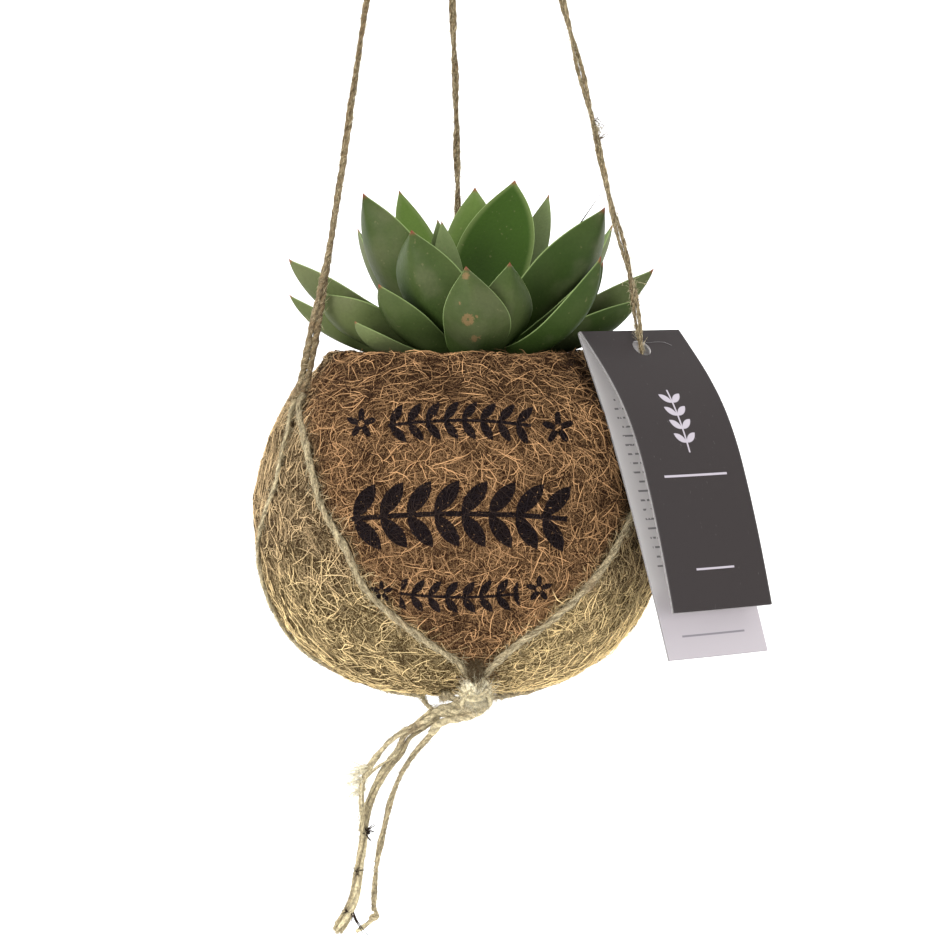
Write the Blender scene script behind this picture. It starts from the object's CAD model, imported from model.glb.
"""Looks of a hanging planter: a coir ball with a succulent rosette, slung on jute twine, with a card tag.

Blender units are metres, +Z is up and the front faces -Y. Routes and sizes below are in millimetres
and are scaled once, when a mesh is made.
"""

import bpy
import numpy as np
from mathutils import Matrix, Vector


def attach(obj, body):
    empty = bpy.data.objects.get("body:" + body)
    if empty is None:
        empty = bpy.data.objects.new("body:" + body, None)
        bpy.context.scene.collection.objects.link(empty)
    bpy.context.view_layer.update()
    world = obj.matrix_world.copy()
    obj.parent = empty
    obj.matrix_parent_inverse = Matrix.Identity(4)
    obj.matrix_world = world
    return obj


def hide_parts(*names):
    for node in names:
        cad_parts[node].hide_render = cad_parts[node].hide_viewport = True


MM = 0.001
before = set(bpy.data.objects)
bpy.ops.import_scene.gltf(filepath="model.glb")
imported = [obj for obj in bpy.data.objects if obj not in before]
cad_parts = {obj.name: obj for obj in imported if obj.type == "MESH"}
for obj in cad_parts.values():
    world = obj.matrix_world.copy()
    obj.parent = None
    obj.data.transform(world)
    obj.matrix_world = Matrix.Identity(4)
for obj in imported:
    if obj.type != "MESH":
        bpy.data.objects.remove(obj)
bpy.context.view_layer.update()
rng = np.random.default_rng(11)

# Camera: level with the tag's hole, tipped down a little, 1.2 m in front
PITCH = np.radians(2.5)
EYE = np.array([7.35, -1198.9, -323.56])
camera = bpy.data.objects.new("camera", bpy.data.cameras.new("camera"))
bpy.context.scene.collection.objects.link(camera)
camera.location = Vector(EYE * MM)
camera.rotation_euler = (np.pi / 2 - PITCH, 0.0, 0.0)
camera.data.sensor_width = 36.0
camera.data.lens = 121.6
camera.data.clip_end = 50.0
bpy.context.scene.camera = camera

# Sizes shared with part.mjs
RIM_Z = -332.0
BALL_X = 4.5
TWINE = 2.0


# Lines

def smooth_line(points, spans=10, ends="carried on"):
    """Catmull-Rom curve through the points, with its ends carried on straight or repeated."""
    p = np.asarray(points, float)
    first, last = (2 * p[0] - p[1], 2 * p[-1] - p[-2]) if ends == "carried on" else (p[0], p[-1])
    q = np.vstack([first, p, last])
    t = np.linspace(0, 1, spans, endpoint=False)[None, :, None]
    p0, p1, p2, p3 = (q[i:len(q) - 3 + i, None, :] for i in range(4))
    v0, v1 = (p2 - p0) / 2, (p3 - p1) / 2
    line = (2 * p1 - 2 * p2 + v0 + v1) * t**3 + (-3 * p1 + 3 * p2 - 2 * v0 - v1) * t**2 + v0 * t + p1
    return np.vstack([line.reshape(-1, p.shape[1]), p[-1]])


def distances(line):
    """Distance along the line to each of its points."""
    return np.concatenate([[0.0], np.cumsum(np.linalg.norm(np.diff(line, axis=0), axis=1))])


def evened(line, step):
    """The line with its points a step apart."""
    far = distances(line)
    count = max(3, int(round(far[-1] / step)) + 1)
    at = np.linspace(0, far[-1], count)
    return np.stack([np.interp(at, far, line[:, k]) for k in range(line.shape[1])], 1)


def unit(v):
    """The vectors brought to length 1."""
    return v / np.maximum(np.linalg.norm(v, axis=-1, keepdims=True), 1e-9)


def line_frames(line):
    """Tangent and two normals at each point, turning as little as possible along the line."""
    tangent = unit(np.gradient(line, axis=0))
    normal = np.zeros_like(line)
    start = np.cross(tangent[0], [0.0, 0.0, 1.0])
    if np.linalg.norm(start) < 0.1:
        start = np.cross(tangent[0], [1.0, 0.0, 0.0])
    normal[0] = unit(start)
    for i in range(1, len(line)):
        normal[i] = unit(normal[i - 1] - tangent[i] * (normal[i - 1] @ tangent[i]))
    return tangent, normal, np.cross(tangent, normal)


# The ball's outline, from the lip's top to the bottom, as [radius, height over the mouth]
POT_OUTLINE = [
    [47.5, 0], [51, -1.6], [54, -5.5], [61, -13.5], [69, -25], [74.5, -40], [77.2, -55], [77.7, -70],
    [75.5, -84.5], [69.5, -98.5], [60.5, -110.3], [48, -120], [32, -126.2], [14, -128.6], [0, -128.8],
]
outline = smooth_line(POT_OUTLINE, 40, "repeated")
outline_far = distances(outline) / distances(outline)[-1]
OUTLINE_LENGTH = distances(outline)[-1]
outline_way = unit(np.gradient(outline, axis=0))


def over_ball(azimuth, down, lift=0.0):
    """Place over the ball: azimuth from the front, share of the outline from lip to bottom, height."""
    radius, z = (np.interp(down, outline_far, outline[:, k]) for k in range(2))
    along_r, along_z = (np.interp(down, outline_far, outline_way[:, k]) for k in range(2))
    out = radius - along_z * lift
    turn = np.radians(azimuth)
    return np.stack([BALL_X + out * np.sin(turn), -out * np.cos(turn), RIM_Z + z + along_r * lift], -1)


# Routes of the cords, the same as in part.mjs
STRINGS = {
    "string_left": [
        [-56.3, -27.2, -349.6], [-52.7, -25.5, -340], [-49, -23.6, -320], [-44.6, -21.7, -297.5],
        [-41.1, -19.9, -275], [-35.7, -16.9, -238], [-30.2, -13.9, -200], [-22.2, -10.1, -150],
        [-13, -5.9, -95], [-5.6, -2.6, -52], [-2.2, -1, -32],
    ],
    "string_right": [
        [76.9, -25.2, -373], [74.6, -24.4, -350], [71.8, -23, -329], [67.8, -21, -303],
        [60.5, -18.8, -275.5], [53.4, -16.4, -243], [42.6, -13, -200], [31.2, -9.3, -150],
        [18.3, -5.2, -95], [7.6, -2, -52], [2.7, -0.6, -32],
    ],
    "string_back": [
        [7, 72.3, -359.5], [5.6, 67.6, -338], [4.6, 61, -308], [3.6, 53.8, -275], [2.7, 44.6, -231],
        [1.4, 37, -196], [0.9, 27, -150], [0.5, 15.2, -95], [0.2, 5.6, -52], [0.1, 1.2, -32],
    ],
}
STRANDS = {
    "strand_front_left": (
        [[-64, 0.122], [-61.5, 0.152], [-51.2, 0.211], [-44.1, 0.28], [-39.3, 0.344], [-31.4, 0.418],
         [-26.4, 0.492], [-18.3, 0.554], [-9, 0.611], [-0.6, 0.66]],
        [[7.6, -54.8, -449.6]],
    ),
    "strand_side_left": (
        [[-66.6, 0.122], [-65.6, 0.16], [-61.5, 0.2], [-61, 0.24], [-60.5, 0.302], [-64.1, 0.348],
         [-68.4, 0.389], [-72.9, 0.436], [-74, 0.486], [-77, 0.56], [-83, 0.64], [-91, 0.71], [-95, 0.78],
         [-86, 0.85], [-62, 0.895], [-40, 0.885], [-31, 0.86]],
        [[-8.6, -31, -461.6], [-5.4, -45, -463], [-3.6, -52, -463.4]],
    ),
    "strand_front_right": (
        [[70.4, 0.258], [68.6, 0.29], [62, 0.322], [53.3, 0.362], [44.7, 0.432], [36.9, 0.495],
         [27.1, 0.563], [19.5, 0.605], [13.2, 0.655]],
        [[12.8, -54.8, -450]],
    ),
    "strand_side_right": (
        [[72.4, 0.258], [79, 0.29], [91, 0.34], [103, 0.42], [109, 0.52], [110, 0.64], [106, 0.75],
         [94, 0.84], [68, 0.89], [42, 0.885], [24, 0.85], [16, 0.8]],
        [[14.2, -46, -457.4], [12.4, -52, -456.2]],
    ),
    "strand_back_left": (
        [[178.9, 0.185], [180, 0.215], [184, 0.27], [190, 0.36], [194, 0.48], [194, 0.6], [192, 0.72],
         [190, 0.84], [196, 0.93], [262, 0.975], [330, 0.93], [348, 0.86], [352, 0.8]],
        [[3.2, -44, -459.2], [7.6, -51, -457.6]],
    ),
    "strand_back_right": (
        [[177.1, 0.185], [176, 0.215], [172, 0.27], [166, 0.36], [162, 0.48], [162, 0.6], [164, 0.72],
         [166, 0.84], [160, 0.93], [90, 0.98], [20, 0.93], [7, 0.86], [4, 0.8]],
        [[8.2, -43.5, -459.8], [10, -51, -458]],
    ),
}
TAILS = {
    "tail_main": [
        [-4.6, -53, -464], [-10.2, -52.8, -468.2], [-15, -52.5, -471.6], [-17.8, -52.2, -477.4],
        [-22.2, -52, -483.2], [-25.4, -51.8, -489.2], [-28, -51.5, -495.4], [-29.8, -51.2, -501.5],
        [-30.9, -51, -509], [-31.8, -50.8, -516.8], [-32.8, -50.5, -523.6], [-34, -50.2, -531.2],
        [-36.6, -50, -537.4], [-40.6, -49.8, -544],
    ],
    "tail_left": [
        [-6.4, -56.4, -464.6], [-11.4, -56.8, -467.2], [-16.6, -56.8, -469.8], [-21.2, -56.4, -473.4],
        [-25.2, -55.8, -478], [-28.6, -55.6, -483], [-30.8, -55.4, -488], [-31.3, -55.2, -493],
        [-31, -54.8, -499.5], [-31.2, -54.6, -506],
    ],
    "tail_thin": [
        [-3.4, -54.4, -467.6], [-7.4, -54.4, -472.4], [-12, -54.2, -477.8], [-16, -54, -483.8],
        [-18.7, -53.8, -489.6], [-21, -53.4, -496.2], [-22.6, -53, -503.2], [-24.2, -52.6, -510.2],
        [-25.6, -52.2, -517.2], [-26.4, -51.8, -524], [-26.8, -51.4, -531], [-27, -51.2, -536],
    ],
}
TAIL_THICKNESS = {"tail_main": 3.0, "tail_left": TWINE, "tail_thin": TWINE}
TAIL_LINK = [[-17.9, -53.4, -477.6], [-22, -55, -480.4], [-26, -56, -483], [-29.6, -55.8, -486.4]]
END_KNOT = [-26.8, -51.2, -538.6]
END_KNOT_TAIL = [[-27.4, -51.2, -539.2], [-30, -51.1, -541.4], [-33.4, -51, -543.8]]
KNOT_CENTRE = over_ball(6, 0.715, 5.8)
WRAP_ROUTE = [[13.2, -53.2, -459.6], [8, -54.2, -461.4], [2, -54, -462.4], [-4, -53.4, -463.2]]
TOP_KNOT_Z = -26


# Shaders

class Value:
    """A number in a shader: Python's arithmetic on it makes Math nodes."""

    def __init__(self, shader, socket):
        self.shader = shader
        self.socket = socket

    def __add__(self, other):
        return self.shader.math("ADD", self, other)

    def __sub__(self, other):
        return self.shader.math("SUBTRACT", self, other)

    def __mul__(self, other):
        return self.shader.math("MULTIPLY", self, other)

    def __truediv__(self, other):
        return self.shader.math("DIVIDE", self, other)

    def __radd__(self, other):
        return self.shader.math("ADD", other, self)

    def __rsub__(self, other):
        return self.shader.math("SUBTRACT", other, self)

    def __rmul__(self, other):
        return self.shader.math("MULTIPLY", other, self)

    def __neg__(self):
        return self * -1.0

    def __abs__(self):
        return self.shader.math("ABSOLUTE", self)


class Shader:
    """A material and the few ways in which its nodes are made."""

    def __init__(self, name, **constants):
        self.material = bpy.data.materials.new(name)
        self.material.use_nodes = True
        self.tree = self.material.node_tree
        self.surface = self.tree.nodes["Principled BSDF"]
        for socket, value in constants.items():
            self.surface.inputs[socket.replace("_", " ")].default_value = value

    def node(self, kind, inputs, output=0, **settings):
        """One node with its inputs linked or set, and one of its outputs."""
        made = self.tree.nodes.new("ShaderNode" + kind)
        for setting, value in settings.items():
            setattr(made, setting, value)
        for key, value in inputs.items():
            if isinstance(value, Value):
                self.tree.links.new(value.socket, made.inputs[key])
            else:
                made.inputs[key].default_value = value
        return Value(self, made.outputs[output])

    def math(self, operation, *values):
        """A Math node on its inputs in order."""
        return self.node("Math", dict(enumerate(values)), operation=operation)

    def length(self, a, b):
        """Root of the sum of two squares."""
        return self.math("SQRT", a * a + b * b)

    def smooth(self, value, low, high):
        """0 at low, 1 at high, smooth between them and level beyond. Low may be the greater of the two."""
        inputs = {0: value, 1: low, 2: high, 3: 0.0, 4: 1.0}
        return self.node("MapRange", inputs, interpolation_type="SMOOTHSTEP")

    def below(self, value, low, high):
        """1 below low, 0 above high and smooth between them."""
        return 1.0 - self.smooth(value, low, high)

    def colour(self, share, first, second):
        """Blend of two colours by a share from 0 to 1."""
        pair = [c if isinstance(c, Value) else (*c, 1.0) for c in (first, second)]
        return self.node("Mix", {0: share, 6: pair[0], 7: pair[1]}, output=2, data_type="RGBA")

    def shaded(self, colour, amount):
        """A colour made lighter or darker by a number."""
        return self.node("VectorMath", {0: colour, 3: amount}, operation="SCALE")

    def attribute(self, name):
        """A number that the mesh holds at each point."""
        return self.node("Attribute", {}, output=2, attribute_name=name)

    def place(self):
        """Position in the object's frame, in metres: every piece sits at the origin."""
        return self.node("TexCoord", {}, output=3)

    def axes(self, vector):
        """The three numbers of a vector."""
        return [self.node("SeparateXYZ", {0: vector}, output=k) for k in range(3)]

    def stretched(self, vector, scale):
        """A vector multiplied axis by axis."""
        return self.node("VectorMath", {0: vector, 1: scale}, operation="MULTIPLY")

    def noise(self, vector, scale, detail=2.0, roughness=0.5):
        """Smooth noise from 0 to 1; the scale is in bumps to the metre."""
        inputs = {"Vector": vector, "Scale": scale, "Detail": detail, "Roughness": roughness}
        return self.node("TexNoise", inputs)

    def bump(self, height, distance, strength=1.0):
        """A normal that follows a height, which counts for a distance in metres."""
        return self.node("Bump", {"Height": height, "Distance": distance, "Strength": strength})

    def set(self, **values):
        """Link values to the surface's sockets."""
        for socket, value in values.items():
            self.tree.links.new(value.socket, self.surface.inputs[socket.replace("_", " ")])


# Meshes

def grid_faces(rows, columns, around=True):
    """Quads of a grid of rows of points, joined round each row or left open."""
    last = columns if around else columns - 1
    r, c = np.meshgrid(np.arange(rows - 1), np.arange(last), indexing="ij")
    a = r * columns + c
    b = r * columns + (c + 1) % columns
    return np.stack([a, b, b + columns, a + columns], -1).reshape(-1, 4)


def fan_faces(first, count, middle, flip):
    """Triangles from a ring of points to a middle point."""
    k = np.arange(count)
    ring = [first + k, first + (k + 1) % count]
    if flip:
        ring.reverse()
    return np.stack([*ring, np.full(count, middle)], -1)


def closed_tube(rings):
    """Points and faces of rings closed at both ends, each ring anticlockwise seen from the next one."""
    rows, columns = rings.shape[:2]
    points = np.vstack([rings.reshape(-1, 3), rings[0].mean(0), rings[-1].mean(0)])
    middle = rows * columns
    return points, [
        grid_faces(rows, columns),
        fan_faces(0, columns, middle, True),
        fan_faces((rows - 1) * columns, columns, middle + 1, False),
    ]


def make_piece(name, parts, materials, smooth=True):
    """One mesh object from parts of (points in mm, [faces], {attribute: values})."""
    points = np.vstack([p[0] for p in parts]) * MM
    starts = np.cumsum([0] + [len(p[0]) for p in parts])
    faces = [np.asarray(group) + start for start, part in zip(starts, parts) for group in part[1]]
    corners = np.concatenate([f.ravel() for f in faces])
    totals = np.concatenate([np.full(len(f), f.shape[1]) for f in faces])
    mesh = bpy.data.meshes.new(name)
    mesh.vertices.add(len(points))
    mesh.vertices.foreach_set("co", points.astype(np.float32).ravel())
    mesh.loops.add(len(corners))
    mesh.loops.foreach_set("vertex_index", corners.astype(np.int32))
    mesh.polygons.add(len(totals))
    mesh.polygons.foreach_set("loop_start", np.concatenate([[0], np.cumsum(totals)[:-1]]).astype(np.int32))
    mesh.update(calc_edges=True)
    mesh.polygons.foreach_set("use_smooth", np.full(len(totals), smooth))
    for key in parts[0][2]:
        values = np.concatenate([np.broadcast_to(p[2].get(key, 0.0), len(p[0])) for p in parts])
        mesh.attributes.new(key, "FLOAT", "POINT").data.foreach_set("value", values.astype(np.float32))
    for material in materials:
        mesh.materials.append(material)
    piece = bpy.data.objects.new(name, mesh)
    bpy.context.scene.collection.objects.link(piece)
    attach(piece, "root")
    return piece


# Jute

PLY_PITCH = 9.0  # of the two plies in a twine
LOBE_DEPTH = 0.13  # of the plies, as a share of the radius


def twine_part(line, thickness, tint, sides=12, step=1.0, pitch=PLY_PITCH):
    """A loosely spun twine: uneven in thickness, with two shallow lobes that turn along the line."""
    line = evened(line, step)
    _, normal, other = line_frames(line)
    far = distances(line)
    turn = 2 * np.pi * far / pitch + rng.uniform(0, 6)
    angle = 2 * np.pi * np.arange(sides) / sides
    a, b, c = rng.uniform(0, 6, 3)
    uneven = 1 + 0.12 * np.sin(far / 6.3 + a) + 0.09 * np.sin(far / 2.3 + b) + 0.05 * np.sin(far / 1.1 + c)
    round_twine = angle[None, :] - turn[:, None]
    lobes = 1 + LOBE_DEPTH * np.cos(2 * round_twine)
    if callable(thickness):
        thickness = thickness(far / far[-1])
    radius = (thickness / 2 * 0.94 * uneven)[:, None] * lobes
    rings = line[:, None] + radius[..., None] * (
        np.cos(angle)[None, :, None] * normal[:, None] + np.sin(angle)[None, :, None] * other[:, None]
    )
    points, faces = closed_tube(rings)

    def per_point(values):
        """A value for each point of the rings, and 0 for the two end points."""
        return np.concatenate([np.broadcast_to(values, radius.shape).ravel(), [0, 0]])

    return points, faces, {
        "tint": tint, "groove": per_point((lobes - 1) / LOBE_DEPTH), "far": per_point(far[:, None]),
        "cosine": per_point(np.cos(round_twine)), "sine": per_point(np.sin(round_twine)),
    }


def wound(line, radius, pitch, phase):
    """A line wound round another at a radius, which may differ from point to point."""
    line = evened(line, 1.0)
    _, normal, other = line_frames(line)
    turn = 2 * np.pi * distances(line) / pitch + phase
    if callable(radius):
        radius = radius(distances(line) / distances(line)[-1])[:, None]
    return line + radius * (np.cos(turn)[:, None] * normal + np.sin(turn)[:, None] * other)


def hair_parts(starts, ways, lengths, curls, thickness, tints, steps=3):
    """Many short three-sided hairs, each bending towards its own curl direction."""
    count = len(starts)
    t = np.linspace(0, 1, steps)[None, :, None]
    reach = lengths[:, None, None]
    line = starts[:, None] + ways[:, None] * reach * t + curls[:, None] * reach * t**2
    tangent = unit(np.gradient(line, axis=1))
    side = unit(np.cross(tangent, rng.normal(size=(count, 1, 3))))
    other = np.cross(tangent, side)
    angle = (2 * np.pi * np.arange(3) / 3)[:, None]
    radius = thickness[:, None, None, None] / 2 * (1 - 0.6 * t[..., None])
    rings = line[:, :, None] + radius * (np.cos(angle) * side[:, :, None] + np.sin(angle) * other[:, :, None])
    size = steps * 3
    one = grid_faces(steps, 3)
    faces = (one[None] + (np.arange(count) * size)[:, None, None]).reshape(-1, 4)
    return rings.reshape(-1, 3), [faces], {"tint": np.repeat(tints, size), "groove": 1.0}


def fuzz_part(line, radius, per_mm, longest=4.5, tints=(0.3, 1.0)):
    """Loose fibres that stand off a twine."""
    line = evened(line, 0.5)
    far = distances(line)
    count = int(far[-1] * per_mm)
    pick = rng.integers(0, len(line), count)
    tangent, normal, other = line_frames(line)
    turn = rng.uniform(0, 2 * np.pi, count)
    out = np.cos(turn)[:, None] * normal[pick] + np.sin(turn)[:, None] * other[pick]
    along = tangent[pick] * rng.choice([-1, 1], count)[:, None]
    starts = line[pick] + out * radius * 0.8
    stand = rng.uniform(0.1, 0.9, count)[:, None]
    ways = unit(along + out * stand)
    curls = rng.normal(size=(count, 3)) * 0.45
    lengths = 1.2 + (longest - 1.2) * rng.uniform(0, 1, count) ** 2.5
    return hair_parts(starts, ways, lengths, curls, rng.uniform(0.11, 0.2, count), rng.uniform(*tints, count))


jute = Shader("jute_twine", Roughness=0.9, Specular_IOR_Level=0.2)
tint, groove, far, cosine, sine = (jute.attribute(n) for n in ("tint", "groove", "far", "cosine", "sine"))
spun = jute.node("CombineXYZ", {0: far * 0.16, 1: cosine, 2: sine})
streak = jute.noise(spun, 3.4, 3.0, 0.6)
fine = jute.noise(jute.place(), 2600.0, 3.0, 0.6)
coarse = jute.noise(jute.place(), 120.0, 2.0)
threads = jute.noise(jute.stretched(spun, (0.7, 5.0, 5.0)), 3.0, 2.0, 0.6)
straw = jute.colour(
    jute.smooth(tint + (streak - 0.5) * 1.3 + (threads - 0.5) * 1.2, 0.0, 1.0),
    (0.115, 0.076, 0.036), (0.59, 0.505, 0.315),
)
straw = jute.colour(jute.smooth(tint, 1.0, 1.5), straw, (0.82, 0.76, 0.58))
straw = jute.colour(jute.smooth(coarse, 0.55, 0.8) * 0.6, straw, (0.20, 0.125, 0.065))
straw = jute.colour(jute.smooth(tint, 0.0, -0.6), straw, (0.022, 0.012, 0.008))
flecks = jute.smooth(jute.noise(jute.place(), 1100.0, 2.0, 0.6), 0.36, 0.64)
depth = jute.smooth(groove + (threads - 0.5) * 1.5, -1.0, 0.4)
jute_colour = jute.shaded(straw, (0.66 + 0.38 * depth) * (0.42 + 0.55 * fine + 0.55 * flecks))
jute.set(Base_Color=jute_colour, Normal=jute.bump(streak + fine, 0.0005, 0.9))


def jute_piece(name, parts):
    """One mesh object of jute."""
    return make_piece(name, parts, [jute.material])


# Two twines make a string. They run side by side with slits of light between them, and the left pair
# parts above the ball. A spacing is the distance of each twine from the string's middle line. Spacings
# and thicknesses are in mm, and the share is that of the string's length, from the ball up.

def left_spacing(share):
    """Wide at the ball down to 0.45 at 0.26 of the length, then up by 0.25 from 0.3 to 0.6."""
    return 0.45 + 1.0 * np.clip(1 - share / 0.26, 0, 1) + 0.25 * np.clip(share / 0.3 - 1, 0, 1)


def left_thickness(share):
    """Thick at the ball down to 1.74 at 0.3 of the length, then up by 0.25 until 0.6."""
    return 1.74 + 1.1 * np.clip(1 - share / 0.3, 0, 1) + 0.25 * np.clip(share / 0.3 - 1, 0, 1)


def right_spacing(share):
    """Waves between 0.56 and 0.88, closer in the lowest 0.14 of the length."""
    return 0.56 + 0.32 * np.sin(share * 13 + 2.1) ** 2 - 0.25 * np.clip(1 - share / 0.14, 0, 1)


def right_thickness(share):
    """1.52, and thinner in the lowest 0.16 of the length, most so at 0.08."""
    return 1.52 - 0.45 * np.clip(1 - np.abs(share - 0.08) / 0.08, 0, 1)


def back_spacing(share):
    """Waves between 0.55 and 0.75."""
    return 0.55 + 0.2 * np.sin(share * 17) ** 2


PAIRS = {
    # spacing, turn pitch, turn at the ball, twine thickness, tint
    "string_left": (left_spacing, 150.0, 0.15, left_thickness, 0.12),
    "string_right": (right_spacing, 62.0, 2.5, right_thickness, 0.18),
    "string_back": (back_spacing, 55.0, 0.4, 1.6, 0.12),
}
BARE_BY_THE_TAG = 42  # lowest points of the right string, 1 mm apart, that carry no fuzz
for name, route in STRINGS.items():
    spacing, pitch, start_turn, thick, tone = PAIRS[name]
    line = smooth_line(route)
    pair = [wound(line, spacing, pitch, start_turn + k * np.pi) for k in range(2)]
    piece = jute_piece(name + "_twines", [twine_part(p, thick, tone + 0.1 * k) for k, p in enumerate(pair)])
    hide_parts(name)
    bare = BARE_BY_THE_TAG if name == "string_right" else 0
    loose = jute_piece(name + "_fuzz", [fuzz_part(p[bare:], 1.0, 5.0, 3.2) for p in pair])

strand_parts, strand_fuzz = [], []
for name, (route, end) in STRANDS.items():
    around = np.array([over_ball(azimuth, down, TWINE / 2 + 0.45) for azimuth, down in route])
    line = smooth_line(np.vstack([around, end]))
    thick, tone = (1.6, 0.62) if name == "strand_side_left" else (2.5, 0.43)
    strand_parts.append(twine_part(line, thick, tone, pitch=17.0))
    strand_fuzz.append(fuzz_part(line, thick / 2, 7.0, 4.4, (0.25, 1.0)))
strands = jute_piece("ball_strands", strand_parts)
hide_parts(*STRANDS)
jute_piece("ball_strands_fuzz", strand_fuzz)

# The tails unravel at their ends: number of loose fibres at each end, and their reach in mm
END_FRAYS = {"tail_main": (130, 9.0), "tail_left": (20, 6.0), "tail_thin": (8, 3.0)}
LOWEST_FRAY = -545.5  # a frayed end's fibres stay above this height, apart from what their bend adds


def main_tail_thickness(share):
    """Thickness of each of the main tail's three twines: it swells round 0.88 and ends thin."""
    swelling = 0.8 * np.exp(-((share - 0.88) / 0.05) ** 2)
    return 2.0 + swelling - 1.3 * np.clip((share - 0.965) / 0.035, 0, 1)


def main_tail_spacing(share):
    """How far the three twines run off the middle line: more at the knot and at the end."""
    return 0.85 + 0.9 * np.clip((share - 0.8) / 0.2, 0, 1) + 1.3 * np.clip(1 - share / 0.3, 0, 1)


for name, route in TAILS.items():
    line = smooth_line(route)
    thick = TAIL_THICKNESS[name]
    if name == "tail_main":
        parts = []
        for k in range(3):
            twine = wound(line, main_tail_spacing, 120.0, 2.1 * k + 0.6)
            parts.append(twine_part(twine, main_tail_thickness, 0.55 + 0.12 * k, pitch=45.0))
    else:
        parts = [twine_part(line, thick * 1.05, 0.45 if name == "tail_thin" else 0.62, pitch=36.0)]
    piece = jute_piece(name + "_twine", parts)
    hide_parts(name)
    fuzz = [fuzz_part(line, thick / 2, 8.0, 4.5)]
    count, reach = END_FRAYS[name]
    away = unit(line[-1] - line[-8])
    starts = line[-1] + rng.normal(size=(count, 3)) * 0.7 - away * rng.uniform(0, 9, count)[:, None]
    ways = unit(away + rng.normal(size=(count, 3)) * 0.24)
    ways[:, 2] = -abs(ways[:, 2])
    lengths = np.minimum(rng.uniform(0.4, 1.0, count) * reach, (starts[:, 2] - LOWEST_FRAY) / 1.3)
    keep = lengths > 1
    fuzz.append(hair_parts(
        starts[keep], ways[keep], lengths[keep], rng.normal(size=(keep.sum(), 3)) * 0.15,
        rng.uniform(0.15, 0.4, keep.sum()), rng.uniform(0.6, 1, keep.sum()),
    ))
    loose = jute_piece(name + "_fuzz", fuzz)
    if name == "tail_left":
        link = [twine_part(smooth_line(TAIL_LINK), 1.3, 0.7, pitch=36.0)]
        jute_piece("tail_link_twine", link)
    if name == "tail_thin":
        turns = np.linspace(0, 4 * np.pi, 40)
        coil = np.array(END_KNOT) + np.stack([
            1.3 * np.cos(turns), 1.1 * np.sin(turns), 1.2 * np.sin(turns / 2 + 0.4) * np.cos(turns / 2),
        ], 1)
        knot = jute_piece("tail_knot", [
            twine_part(np.vstack([[-27, -51.2, -534.6], coil]), 1.7, 0.6),
            twine_part(smooth_line(END_KNOT_TAIL), 1.9, 0.7),
        ])
        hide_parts("tail_end_knot")
    thick * MM
    "knot" if name == "tail_thin" else "bare"


def tuft(place, way, count, longest, spread, tint, thick=0.2):
    """A spray of fibres from a place, mostly in one direction."""
    starts = np.array(place) + rng.normal(size=(count, 3)) * 0.5
    ways = unit(np.array(way, float) + rng.normal(size=(count, 3)) * spread)
    curls = rng.normal(size=(count, 3)) * 0.4
    lengths = rng.uniform(0.35, 1, count) * longest
    return hair_parts(starts, ways, lengths, curls, np.full(count, thick), np.full(count, tint), 4)


jute_piece("jute_tufts", [
    # frayed ends beside the main tail
    tuft([-28.6, -55.4, -483.0], [-1, 0, -0.30], 50, 11.0, 0.22, 1.35, 0.38),
    tuft([-29.6, -55.2, -486.5], [-0.95, 0, -0.45], 40, 9.0, 0.28, 1.35, 0.38),
    tuft([-30.6, -55.0, -490.5], [-0.85, 0, -0.35], 50, 8.0, 0.28, 1.35, 0.38),
    # bits of dark husk on the tails and on the right string
    tuft([-29.9, -52.4, -506.6], [1, -0.4, 0.1], 40, 2.6, 0.8, -1.0, 0.7),
    tuft([-32.8, -52.4, -521.4], [-0.6, -0.5, 0.2], 22, 3.0, 0.9, -0.5, 0.3),
    tuft([-36.4, -51.6, -536.4], [-0.9, -0.3, 0.3], 14, 3.8, 0.7, -0.6, 0.3),
    tuft([-34.4, -51.8, -537.0], [0.3, -0.2, -1], 4, 8.5, 0.05, -0.9, 0.7),
    tuft([54.9, -18.4, -245.5], [1, -0.2, -0.4], 9, 6.5, 0.45, -0.5, 0.3),
    tuft([56.4, -18.8, -253], [0.7, -0.2, 0.9], 8, 6.0, 0.4, -0.3, 0.3),
    tuft([55.6, -18.6, -249], [0.2, -0.6, 0.2], 60, 3.6, 1.2, 0.5, 0.16),
    # the shaded hollow where the front strands meet
    tuft([9.8, -56.0, -439.0], [0, -0.1, 0.5], 190, 5.0, 1.2, -0.06, 0.35),
    tuft([10.0, -57.4, -444.5], [0, -0.3, 0.4], 150, 4.5, 1.2, 0.02, 0.35),
])


def knot_parts(centre, radii, turns, thickness, tilt, tint=0.5):
    """Turns of twine wrapped over an egg-shaped lump, each about its own tilted axis."""
    parts = []
    for k in range(turns):
        angle = np.linspace(0, 2 * np.pi, 33)
        ring = np.stack([np.cos(angle), np.sin(angle), 0.25 * np.sin(2 * angle + k)], 1)
        turned = Matrix.Rotation(tilt + 2.4 * k, 3, "Z") @ Matrix.Rotation(0.5 + 1.1 * k, 3, "X")
        ring = unit(ring @ np.array(turned).T) * (np.array(radii) - thickness * 0.35)
        parts.append(twine_part(np.asarray(centre) + ring, thickness, tint + 0.08 * (k % 4), pitch=14.0))
    return parts


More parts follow.
